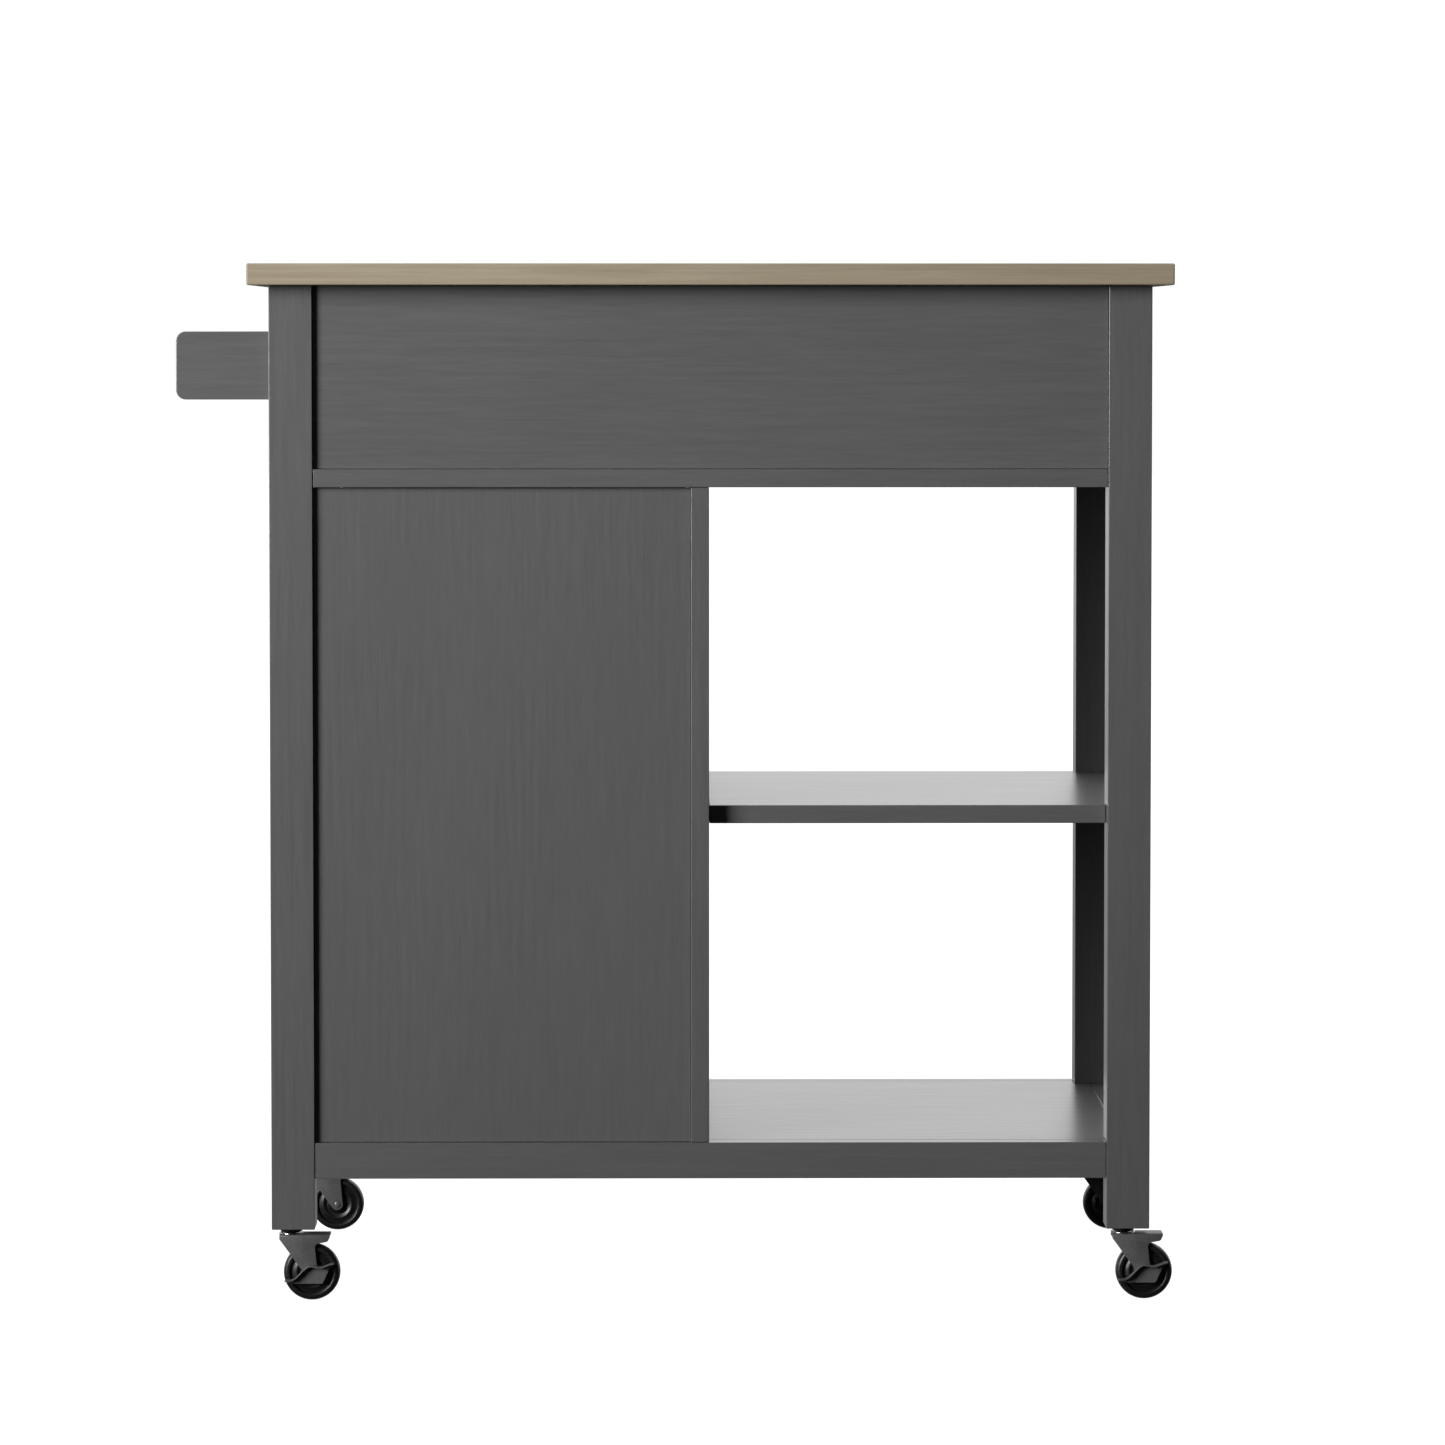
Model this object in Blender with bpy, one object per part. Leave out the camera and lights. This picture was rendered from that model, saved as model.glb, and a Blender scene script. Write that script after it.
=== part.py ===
"""Wheeled kitchen cart with a butcher-block top, a cabinet, a drawer, open shelves and a towel bar.

Metres, +Z up. The drawer and the door face -Y, the cabinet and the towel bar are at the +X end.
The cart stands on Z = 0 and the origin is under the middle of its bounding box.
"""

from math import asin, atan2, cos, hypot, pi, radians, sin

import bmesh
import bpy
from mathutils import Vector

# ---------------------------------------------------------------- driving dimensions

GAP = 0.0003                # clearance between pieces that touch
REVEAL = 0.002              # visible gap round the door and the drawer front
EDGE = 0.0007               # softened edge of the wooden boards
FINE_EDGE = 0.0006          # softened edge of grooved and rounded boards
THIN_EDGE = 0.0003          # softened edge of thin panels
CUT_SPARE = 0.005           # how far a cutting tool runs past the face it cuts
JOIN = 0.001                # how far a joined shape reaches into its piece

LEG = 0.038                 # side of the square legs
LEG_SPAN_X = 0.774          # over the legs' outer faces
LEG_SPAN_Y = 0.448
LEG_BOTTOM = 0.0644

SLAB_BOTTOM = 0.8956
SLAB_THICK = 0.019
SLAB_OVERHANG_X = 0.018
SLAB_OVERHANG_Y = 0.0175
SLAB_EDGE = 0.0014

BOARD = 0.016               # deck, divider and shelves
RAIL = 0.018                # thickness of rails, door and drawer front
THIN_PANEL = 0.006
SIDE_PANEL = 0.012
BOARD_RECESS = 0.001        # deck, divider and rails sit this far behind the legs' faces
SIDE_RECESS = 0.005
BACK_PANEL_RECESS = 0.006
SHELF_SETBACK = 0.021       # middle shelf's front and back edges behind the legs' faces

RAIL_BOTTOM = 0.1094
RAIL_HEIGHT = 0.0318
DECK_BOTTOM = 0.7187
MIDDLE_SHELF_BOTTOM = 0.4217
CABINET_SHELF_SETBACK = 0.030
DIVIDER_X = 0.0014          # face of the divider towards the open shelves
TOP_RAIL_HEIGHT = 0.016

BRACKET_REACH = 0.0817      # beyond the leg's outer face
BRACKET_BOTTOM = 0.7956
BRACKET_HEIGHT = 0.0597
BRACKET_CORNER = 0.0085
ROD_RADIUS = 0.008
ROD_INSET = 0.030           # rod axis, in from the bracket's outer end
SOCKET_DEPTH = 0.009
ROD_NOSE = 0.001            # chamfer at the rod's ends

FACE_RECESS = 0.002         # door and drawer front behind the legs' front faces
DOOR_FRAME = 0.050          # width of the door's stiles and rails
GROOVE_DEPTH = 0.008
GROOVE_SLACK = 0.001
HINGE_SIDE_GAP = 0.0033     # room for the two hinge leaves
HINGE_LEAF = 0.0012
HINGE_LEAF_DEPTH = 0.024
HINGE_HEIGHT = 0.050
HINGE_OFFSET = 0.075        # hinge centre from the door's end
KNUCKLE_RADIUS = 0.003
PIN_RADIUS = 0.00125
PIN_SLACK = 0.0003
LEAF_STEP = 0.0004          # from the knuckles' back to the leaves' front edge

KNOB_RADIUS = 0.0145
KNOB_LENGTH = 0.025
KNOB_BASE = 0.0095          # radius of the foot
KNOB_NECK = 0.0065
KNOB_SHOULDER = 0.0195      # height where the crown starts
DRAWER_KNOB_X = 0.175
DOOR_KNOB_Z = 0.560

DRAWER_SIDE = 0.012
DRAWER_BOX_BOTTOM = 0.0085  # above the deck
DRAWER_BOX_HEIGHT = 0.105
DRAWER_BOX_LENGTH = 0.384
SLIDE_HEIGHT = 0.035
SLIDE_WALL = 0.0012
SLIDE_DEPTH = 0.007         # how deep each slide member's flanges are
SLIDE_LENGTH = 0.380
SLIDE_NEST = 0.0035         # height step between the nested members
SLIDE_PLAY = 0.003          # between the members' webs, beyond the flanges
SLIDE_SETBACK = 0.002       # behind the front of the drawer box

STEM_SHIFT = 0.0028         # swivel axis beside the leg's centre line
STEM_RADIUS = 0.004
STEM_DEPTH = 0.028
STEM_HOLE_SPARE = 0.002     # the leg's hole is this much deeper than the stem
STEM_CHAMFER = 0.001
STEM_FOOT = (0.0018, 0.0015)    # overhang and thickness of the riveted foot
COLLAR_RADIUS = 0.0096
TRAIL = 0.0183              # swivel axis to wheel axle
WHEEL_RADIUS = 0.025
WHEEL_WIDTH = 0.017
FORK_TOP = 0.0590
FORK_SHEET = 0.0015
FORK_WIDTH = 0.0216
RACE_RADIUS = 0.0108        # dished ring on the fork
RACE_HEIGHT = 0.0010
AXLE_RADIUS = 0.0020
AXLE_SLACK = 0.0003
AXLE_HEAD = 0.0026
AXLE_HEAD_THICK = 0.0008
AXLE_HEAD_CHAMFER = 0.0005
HUB_RADIUS = 0.0070
WEB_DISH = 0.0020           # depth of the dished web on each side of the wheel
SHOULDER = 0.0030           # width of the tread's slanted shoulder
PEDAL_SHEET = 0.0012
PEDAL_REACH = 0.0070
PEDAL_STATIONS = 20
CHEEK_STEP = 0.0002         # the cheek always reaches this far below the lip

ROUND = 28                  # sides of turned pieces
SMALL_ROUND = 16

# ---------------------------------------------------------------- derived places

LEG_OUT_X = LEG_SPAN_X / 2
LEG_OUT_Y = LEG_SPAN_Y / 2
LEG_IN_X = LEG_OUT_X - LEG
LEG_IN_Y = LEG_OUT_Y - LEG
LEG_MID_X = LEG_OUT_X - LEG / 2
LEG_MID_Y = LEG_OUT_Y - LEG / 2
BOARD_Y = LEG_OUT_Y - BOARD_RECESS
FRAME_TOP = SLAB_BOTTOM - GAP
RAIL_TOP = RAIL_BOTTOM + RAIL_HEIGHT
DECK_TOP = DECK_BOTTOM + BOARD
SIDE_OUT_X = LEG_OUT_X - SIDE_RECESS
SIDE_IN_X = SIDE_OUT_X - SIDE_PANEL
CABINET_X = DIVIDER_X + BOARD + GAP
BACK_PANEL_Y = LEG_OUT_Y - BACK_PANEL_RECESS
FRONT_Y = -LEG_OUT_Y + FACE_RECESS

BRACKET_END = LEG_OUT_X + BRACKET_REACH
ROD_X = BRACKET_END - ROD_INSET
ROD_Z = BRACKET_BOTTOM + BRACKET_HEIGHT / 2
BRACKET_IN_Y = LEG_MID_Y - RAIL / 2

HINGE_X = LEG_IN_X - HINGE_SIDE_GAP / 2
HINGE_Y = -LEG_OUT_Y - KNUCKLE_RADIUS - GAP
DOOR_LOW = (CABINET_X + REVEAL, RAIL_TOP + REVEAL)
DOOR_HIGH = (LEG_IN_X - HINGE_SIDE_GAP, DECK_BOTTOM - REVEAL)

DRAWER_FRONT_BACK_Y = FRONT_Y + RAIL
DRAWER_BOX_X = LEG_IN_X - 2 * GAP - SLIDE_DEPTH - 2 * SLIDE_WALL - SLIDE_PLAY
DRAWER_BOX_Z = DECK_TOP + DRAWER_BOX_BOTTOM

WHEEL_REACH_X = -LEG_MID_X + STEM_SHIFT - TRAIL - WHEEL_RADIUS
CART_X = -(BRACKET_END + WHEEL_REACH_X) / 2
CART_Y = -(LEG_OUT_Y + SLAB_OVERHANG_Y + FRONT_Y - KNOB_LENGTH - GAP) / 2

# ---------------------------------------------------------------- finishes

PAINT = ((0.108, 0.108, 0.108), 0.38, 0.0)
BLOCK_WOOD = ((0.32, 0.27, 0.19), 0.50, 0.0)
BARE_WOOD = ((0.52, 0.40, 0.26), 0.60, 0.0)
BOARD_BACKING = ((0.32, 0.24, 0.16), 0.70, 0.0)
NICKEL = ((0.55, 0.54, 0.52), 0.32, 1.0)
ZINC = ((0.42, 0.42, 0.43), 0.38, 1.0)
PRESSED_STEEL = ((0.16, 0.16, 0.17), 0.35, 0.8)
BLACK_PLASTIC = ((0.012, 0.012, 0.013), 0.22, 0.0)


def finish(piece, look):
    """Give a piece a Principled material of its own."""
    colour, roughness, metallic = look
    material = bpy.data.materials.new(piece.name + "_finish")
    material.use_nodes = True
    shader = material.node_tree.nodes["Principled BSDF"]
    shader.inputs["Base Color"].default_value = (*colour, 1.0)
    shader.inputs["Roughness"].default_value = roughness
    shader.inputs["Metallic"].default_value = metallic
    piece.data.materials.append(material)


# ---------------------------------------------------------------- modelling helpers

def pivot(name, place, parent=None):
    """Add an empty at a place in its parent's coordinates."""
    empty = bpy.data.objects.new(name, None)
    bpy.context.collection.objects.link(empty)
    empty.empty_display_size = 0.02
    empty.parent = parent
    empty.location = place
    return empty


def piece_from(name, bm, place, parent, look=None, smooth=False):
    """Turn a bmesh into a named object."""
    bmesh.ops.recalc_face_normals(bm, faces=bm.faces)
    mesh = bpy.data.meshes.new(name)
    bm.to_mesh(mesh)
    bm.free()
    if smooth:
        mesh.shade_smooth()
        mesh.set_sharp_from_angle(angle=radians(35))
    piece = bpy.data.objects.new(name, mesh)
    bpy.context.collection.objects.link(piece)
    piece.parent = parent
    piece.location = place
    if look:
        finish(piece, look)
    return piece


def soften(piece, width, segments=2):
    """Round the edges of a piece."""
    bevel = piece.modifiers.new("soft_edges", "BEVEL")
    bevel.width = width
    bevel.segments = segments
    bevel.limit_method = "ANGLE"
    bevel.angle_limit = radians(40)


def combine(piece, tool, operation):
    """Cut a piece with a hidden tool, or join the tool's shape to it."""
    tool.hide_render = True
    tool.display_type = "WIRE"
    boolean = piece.modifiers.new(operation.lower(), "BOOLEAN")
    boolean.object = tool
    boolean.operation = operation
    boolean.solver = "EXACT"


def extrude_outline(outline, axis, low, high):
    """Extrude a closed outline, given in the two other axes, along one axis."""
    def corner(first, second):
        return {"X": (low, first, second), "Y": (first, low, second), "Z": (first, second, low)}[axis]

    bm = bmesh.new()
    corners = [bm.verts.new(corner(*point)) for point in outline]
    cap = bm.faces.new(corners)
    grown = bmesh.ops.extrude_face_region(bm, geom=[cap])
    lifted = [item for item in grown["geom"] if isinstance(item, bmesh.types.BMVert)]
    step = Vector([(high - low) * (letter == axis) for letter in "XYZ"])
    bmesh.ops.translate(bm, verts=lifted, vec=step)
    return bm


def prism(name, outline, axis, low, high, look, parent, edge=EDGE, origin=(0, 0, 0)):
    """Make a prismatic piece; origin is where its parent stands in the outline's coordinates."""
    bm = extrude_outline(outline, axis, low, high)
    corners = [vert.co.copy() for vert in bm.verts]
    centre = sum(corners, Vector()) / len(corners)
    bmesh.ops.translate(bm, verts=bm.verts, vec=-centre)
    piece = piece_from(name, bm, centre - Vector(origin), parent, look)
    if edge:
        soften(piece, edge)
    return piece


def rectangle(low, high):
    """Four corners of a rectangle."""
    return [(low[0], low[1]), (high[0], low[1]), (high[0], high[1]), (low[0], high[1])]


def board(name, low, high, look, parent, edge=EDGE, origin=(0, 0, 0)):
    """Make a rectangular board from its lowest and highest corners."""
    return prism(name, rectangle(low[:2], high[:2]), "Z", low[2], high[2], look, parent, edge, origin)


def arc(centre, radius, start, stop, steps):
    """Points on an arc, angles in degrees."""
    angles = [radians(start + (stop - start) * step / steps) for step in range(steps + 1)]
    return [(centre[0] + radius * cos(a), centre[1] + radius * sin(a)) for a in angles]


def turned(name, profile, place, parent, look=None, sides=ROUND, closed=False, tilt=(0, 0, 0)):
    """Spin a (radius, height) profile round Z, then tilt it."""
    bm = bmesh.new()
    rim = [bm.verts.new((radius, 0, height)) for radius, height in profile]
    pairs = list(zip(rim, rim[1:]))
    if closed:
        pairs.append((rim[-1], rim[0]))
    edges = [bm.edges.new(pair) for pair in pairs]
    bmesh.ops.spin(bm, geom=rim + edges, cent=(0, 0, 0), axis=(0, 0, 1), angle=2 * pi, steps=sides,
                   use_merge=True)
    bmesh.ops.remove_doubles(bm, verts=bm.verts, dist=0.00001)
    piece = piece_from(name, bm, place, parent, look, smooth=True)
    piece.rotation_euler = tilt
    return piece


def rod_tool(name, radius, low, high, place, parent, tilt=(0, 0, 0)):
    """A plain round tool for a hole or a boss."""
    profile = [(0, low), (radius, low), (radius, high), (0, high)]
    return turned(name, profile, place, parent, sides=SMALL_ROUND, tilt=tilt)


def mirrored(low, high):
    """Swap a range to the other side of zero."""
    return -high, -low


def span_for(side, low, high):
    """A range on the +side or, mirrored, on the -side."""
    return (low, high) if side > 0 else mirrored(low, high)


# ---------------------------------------------------------------- worktop and frame

def make_slab(cart):
    half_x = LEG_OUT_X + SLAB_OVERHANG_X
    half_y = LEG_OUT_Y + SLAB_OVERHANG_Y
    low = (-half_x, -half_y, SLAB_BOTTOM)
    high = (half_x, half_y, SLAB_BOTTOM + SLAB_THICK)
    board("top_slab", low, high, BLOCK_WOOD, cart, SLAB_EDGE)


def make_legs(cart):
    """Four square legs, each bored from below for its caster's stem."""
    for end, side_x in (("left", 1), ("right", -1)):
        for face, side_y in (("front", -1), ("back", 1)):
            name = f"leg_{face}_{end}"
            xs = span_for(side_x, LEG_IN_X, LEG_OUT_X)
            ys = span_for(side_y, LEG_IN_Y, LEG_OUT_Y)
            leg = board(name, (xs[0], ys[0], LEG_BOTTOM), (xs[1], ys[1], FRAME_TOP), PAINT, cart)
            stem_x = side_x * LEG_MID_X + STEM_SHIFT
            hole_top = STEM_DEPTH + STEM_HOLE_SPARE
            hole = rod_tool(name + "_hole", STEM_RADIUS + GAP, -CUT_SPARE, hole_top,
                            (stem_x, side_y * LEG_MID_Y, LEG_BOTTOM), cart)
            combine(leg, hole, "DIFFERENCE")


def make_rails(cart):
    """Low rails at the back, the front and the open end, and the rail above the drawer."""
    span_x = LEG_IN_X - GAP
    for name, side in (("front_bottom_rail", -1), ("back_bottom_rail", 1)):
        ys = span_for(side, BOARD_Y - RAIL, BOARD_Y)
        board(name, (-span_x, ys[0], RAIL_BOTTOM), (span_x, ys[1], RAIL_TOP), PAINT, cart)
    end_y = LEG_IN_Y - GAP
    board("bottom_end_rail", (-SIDE_OUT_X, -end_y, RAIL_BOTTOM),
          (-SIDE_OUT_X + RAIL, end_y, RAIL_TOP), PAINT, cart)
    board("front_top_rail", (-span_x, -BOARD_Y, FRAME_TOP - TOP_RAIL_HEIGHT),
          (span_x, -BOARD_Y + RAIL, FRAME_TOP), PAINT, cart)


def make_panels(cart):
    """Back panels, the cabinet's closed end and the short apron at the other end."""
    inner_x = LEG_IN_X - GAP
    board("upper_back_panel", (-inner_x, BACK_PANEL_Y - SIDE_PANEL, DECK_TOP + GAP),
          (inner_x, BACK_PANEL_Y, FRAME_TOP), PAINT, cart, THIN_EDGE)
    board("cabinet_back_panel", (CABINET_X, BACK_PANEL_Y - THIN_PANEL, RAIL_TOP + GAP),
          (inner_x, BACK_PANEL_Y, DECK_BOTTOM - GAP), PAINT, cart, THIN_EDGE)
    end_y = LEG_IN_Y - GAP
    board("cabinet_side_panel", (SIDE_IN_X, -end_y, RAIL_BOTTOM), (SIDE_OUT_X, end_y, FRAME_TOP), PAINT, cart)
    board("drawer_end_apron", (-SIDE_OUT_X, -end_y, DECK_BOTTOM), (-SIDE_IN_X, end_y, FRAME_TOP), PAINT, cart)


def notched_outline(low_x, high_x, half_y):
    """A board between the end panels, cut back round the legs at both ends."""
    inner_x = LEG_IN_X - GAP
    inner_y = LEG_IN_Y - GAP
    return [
        (-inner_x, -half_y), (inner_x, -half_y), (inner_x, -inner_y), (high_x, -inner_y),
        (high_x, inner_y), (inner_x, inner_y), (inner_x, half_y), (-inner_x, half_y),
        (-inner_x, inner_y), (low_x, inner_y), (low_x, -inner_y), (-inner_x, -inner_y),
    ]


def make_boards(cart):
    """Deck, divider and shelves."""
    deck = notched_outline(-SIDE_IN_X + GAP, SIDE_IN_X - GAP, BOARD_Y)
    prism("drawer_deck", deck, "Z", DECK_BOTTOM, DECK_TOP, PAINT, cart)
    bottom = notched_outline(-SIDE_OUT_X + RAIL + GAP, SIDE_IN_X - GAP, BOARD_Y - RAIL - GAP)
    prism("bottom_shelf", bottom, "Z", RAIL_TOP - BOARD, RAIL_TOP, PAINT, cart)
    board("divider", (DIVIDER_X, -BOARD_Y, RAIL_TOP + GAP), (DIVIDER_X + BOARD, BOARD_Y, DECK_BOTTOM - GAP),
          PAINT, cart)

    out_x = -LEG_OUT_X + BOARD_RECESS
    leg_x = -LEG_IN_X + GAP
    leg_y = LEG_IN_Y - GAP
    edge_y = LEG_OUT_Y - SHELF_SETBACK
    middle = [(leg_x, -edge_y), (DIVIDER_X - GAP, -edge_y), (DIVIDER_X - GAP, edge_y), (leg_x, edge_y),
              (leg_x, leg_y), (out_x, leg_y), (out_x, -leg_y), (leg_x, -leg_y)]
    prism("middle_shelf", middle, "Z", MIDDLE_SHELF_BOTTOM, MIDDLE_SHELF_BOTTOM + BOARD, PAINT, cart)

    shelf_back = BACK_PANEL_Y - THIN_PANEL - GAP
    inner_x = LEG_IN_X - GAP
    end_x = SIDE_IN_X - GAP
    front_y = DRAWER_FRONT_BACK_Y + CABINET_SHELF_SETBACK
    inside = [(CABINET_X, front_y), (end_x, front_y), (end_x, leg_y), (inner_x, leg_y),
              (inner_x, shelf_back), (CABINET_X, shelf_back)]
    prism("cabinet_shelf", inside, "Z", MIDDLE_SHELF_BOTTOM, MIDDLE_SHELF_BOTTOM + BOARD, PAINT, cart)


# ---------------------------------------------------------------- towel bar

def make_towel_bar(cart):
    """Two boards with rounded outer corners carry a round rod in blind sockets."""
    top = BRACKET_BOTTOM + BRACKET_HEIGHT
    corner_x = BRACKET_END - BRACKET_CORNER
    root_x = LEG_OUT_X + GAP
    outline = [(root_x, top), (root_x, BRACKET_BOTTOM)]
    outline += arc((corner_x, BRACKET_BOTTOM + BRACKET_CORNER), BRACKET_CORNER, -90, 0, 6)
    outline += arc((corner_x, top - BRACKET_CORNER), BRACKET_CORNER, 0, 90, 6)
    for name, side in (("towel_bracket_front", -1), ("towel_bracket_back", 1)):
        ys = span_for(side, BRACKET_IN_Y, BRACKET_IN_Y + RAIL)
        bracket = prism(name, outline, "Y", ys[0], ys[1], PAINT, cart, FINE_EDGE)
        socket = rod_tool(name + "_socket", ROD_RADIUS + GAP, -SOCKET_DEPTH, SOCKET_DEPTH,
                          (ROD_X, side * BRACKET_IN_Y, ROD_Z), cart, tilt=(pi / 2, 0, 0))
        combine(bracket, socket, "DIFFERENCE")
    half = BRACKET_IN_Y + SOCKET_DEPTH - GAP
    tip = ROD_RADIUS - ROD_NOSE
    profile = [(0, -half), (tip, -half), (ROD_RADIUS, -half + ROD_NOSE),
               (ROD_RADIUS, half - ROD_NOSE), (tip, half), (0, half)]
    turned("towel_rod", profile, (ROD_X, 0, ROD_Z), cart, PAINT, sides=SMALL_ROUND, tilt=(pi / 2, 0, 0))


# ---------------------------------------------------------------- knobs

def knob_profile():
    """Half outline of a knob that stands on its base at height 0."""
    rise = KNOB_LENGTH - KNOB_SHOULDER
    flare = (KNOB_NECK + KNOB_RADIUS) / 2
    profile = [(0, 0), (KNOB_BASE, 0), (KNOB_BASE, 0.06 * KNOB_LENGTH), (KNOB_NECK, 0.16 * KNOB_LENGTH),
               (KNOB_NECK, 0.42 * KNOB_LENGTH), (flare, 0.56 * KNOB_LENGTH),
               (KNOB_RADIUS, 0.66 * KNOB_LENGTH), (KNOB_RADIUS, KNOB_SHOULDER)]
    crown = [(KNOB_RADIUS * cos(radians(a)), KNOB_SHOULDER + rise * sin(radians(a))) for a in (30, 60)]
    return profile + crown + [(0, KNOB_LENGTH)]


def make_knob(name, x, z, parent, origin):
    """A turned knob on the front, with its axis along -Y."""
    place = Vector((x, FRONT_Y - GAP, z)) - Vector(origin)
    turned(name, knob_profile(), place, parent, NICKEL, sides=24, tilt=(pi / 2, 0, 0))


# ---------------------------------------------------------------- door

def make_door(cart):
    """Framed door on two butt hinges; everything that swings hangs on an empty on the hinge axis."""
    origin = (HINGE_X, HINGE_Y, 0)
    swing = pivot("door_swing", origin, cart)
    low_x, low_z = DOOR_LOW
    high_x, high_z = DOOR_HIGH
    front, back = FRONT_Y, FRONT_Y + RAIL
    middle = (front + back) / 2
    slot = THIN_PANEL / 2 + GAP

    def grooved(outer, inner, step):
        """Section of a frame member with a groove in its inner edge; step points inward."""
        floor = inner - step * (GROOVE_DEPTH + GROOVE_SLACK)
        return [(outer, front), (inner, front), (inner, middle - slot), (floor, middle - slot),
                (floor, middle + slot), (inner, middle + slot), (inner, back), (outer, back)]

    free = grooved(low_x, low_x + DOOR_FRAME, 1)
    hinge = grooved(high_x, high_x - DOOR_FRAME, -1)
    prism("door_stile_free", free, "Z", low_z, high_z, PAINT, swing, FINE_EDGE, origin)
    prism("door_stile_hinge", hinge, "Z", low_z, high_z, PAINT, swing, FINE_EDGE, origin)

    rail_x = (low_x + DOOR_FRAME + GAP, high_x - DOOR_FRAME - GAP)
    for name, outer, step in (("door_rail_bottom", low_z, 1), ("door_rail_top", high_z, -1)):
        section = [(y, z) for z, y in grooved(outer, outer + step * DOOR_FRAME, step)]
        prism(name, section, "X", rail_x[0], rail_x[1], PAINT, swing, FINE_EDGE, origin)

    inset = DOOR_FRAME - GROOVE_DEPTH
    board("door_panel", (low_x + inset, middle - THIN_PANEL / 2, low_z + inset),
          (high_x - inset, middle + THIN_PANEL / 2, high_z - inset), PAINT, swing, THIN_EDGE, origin)
    make_knob("door_knob", low_x + DOOR_FRAME / 2, DOOR_KNOB_Z, swing, origin)
    make_hinge("hinge_bottom", low_z + HINGE_OFFSET, cart, swing)
    make_hinge("hinge_top", high_z - HINGE_OFFSET, cart, swing)


def make_hinge(name, z, cart, swing):
    """Butt hinge: the frame leaf carries the pin and two knuckles, the door leaf the middle one."""
    third = HINGE_HEIGHT / 6
    end = HINGE_HEIGHT / 2
    plate_front = HINGE_Y + KNUCKLE_RADIUS + LEAF_STEP
    plate_back = plate_front + HINGE_LEAF_DEPTH
    axis_place = (HINGE_X, HINGE_Y, z)

    spindle = [(0, -end), (KNUCKLE_RADIUS, -end), (KNUCKLE_RADIUS, -third), (PIN_RADIUS, -third),
               (PIN_RADIUS, third), (KNUCKLE_RADIUS, third), (KNUCKLE_RADIUS, end), (0, end)]
    frame_leaf = turned(name + "_leaf_frame", spindle, axis_place, cart, ZINC, sides=SMALL_ROUND)
    frame_x = (HINGE_X + GAP / 2, HINGE_X + GAP / 2 + HINGE_LEAF)
    plate = board(name + "_plate_tool", (frame_x[0], plate_front, z - end + GAP),
                  (frame_x[1], plate_back, z + end - GAP), ZINC, cart, 0)
    combine(frame_leaf, plate, "UNION")
    tab_front = HINGE_Y + PIN_RADIUS + PIN_SLACK + GAP
    for label, low, high in (("low", -end + GAP, -third - GAP), ("high", third + GAP, end - GAP)):
        tab = board(f"{name}_tab_{label}_tool", (frame_x[0], tab_front, z + low),
                    (frame_x[1], plate_front + JOIN, z + high), ZINC, cart, 0)
        combine(frame_leaf, tab, "UNION")

    bore = PIN_RADIUS + PIN_SLACK
    length = third - GAP
    sleeve = [(bore, -length), (KNUCKLE_RADIUS, -length), (KNUCKLE_RADIUS, length), (bore, length)]
    door_leaf = turned(name + "_leaf_door", sleeve, (0, 0, z), swing, ZINC, sides=SMALL_ROUND, closed=True)
    door_x = (HINGE_X - GAP / 2 - HINGE_LEAF, HINGE_X - GAP / 2)
    origin = (HINGE_X, HINGE_Y, 0)
    plate = board(name + "_door_plate_tool", (door_x[0], plate_front, z - end + GAP),
                  (door_x[1], plate_back, z + end - GAP), ZINC, swing, 0, origin)
    combine(door_leaf, plate, "UNION")
    tab = board(name + "_door_tab_tool", (door_x[0], tab_front, z - length + GAP),
                (door_x[1], plate_front + JOIN, z + length - GAP), ZINC, swing, 0, origin)
    combine(door_leaf, tab, "UNION")


# ---------------------------------------------------------------- drawer

def slide_section(side, outer, z_half, direction):
    """C section of a slide member; its web is at outer and its flanges point along direction."""
    web = outer + direction * SLIDE_WALL
    tip = outer + direction * SLIDE_DEPTH
    inner_half = z_half - SLIDE_WALL
    section = [(outer, -z_half), (tip, -z_half), (tip, -inner_half), (web, -inner_half),
               (web, inner_half), (tip, inner_half), (tip, z_half), (outer, z_half)]
    return [(side * x, z) for x, z in section]


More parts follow.
